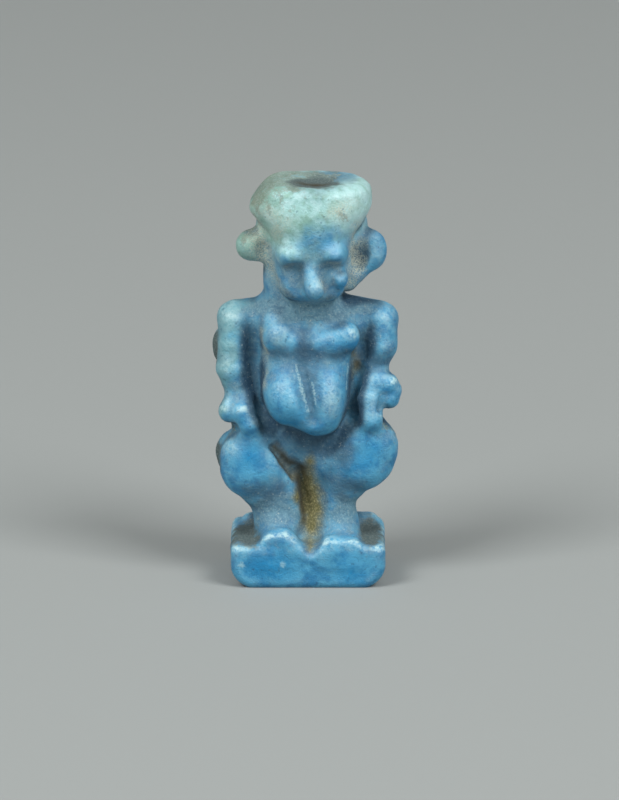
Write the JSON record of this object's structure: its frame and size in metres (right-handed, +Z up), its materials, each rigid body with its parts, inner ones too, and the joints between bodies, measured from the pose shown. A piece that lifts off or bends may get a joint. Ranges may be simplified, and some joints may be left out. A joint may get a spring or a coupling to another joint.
{
  "type": "pataikos amulet",
  "caption": "Small moulded faience amulet of a squat dwarf god with bowed legs, hands on the thighs and a flat crown, standing on an integral base and pierced behind the neck.",
  "frame": {"origin": "centre of the bounding box on the underside of the base", "axes": "+Z up along the figure, the figure faces -Y, +X is the viewer's right"},
  "size_m": [0.0103, 0.0065, 0.022],
  "materials": {
    "faience": "worn satin turquoise glaze, greener on the head, with dusty hollows"
  },
  "bodies": {
    "root": {"pataikos_figure": "faience"}
  },
  "joints": []
}
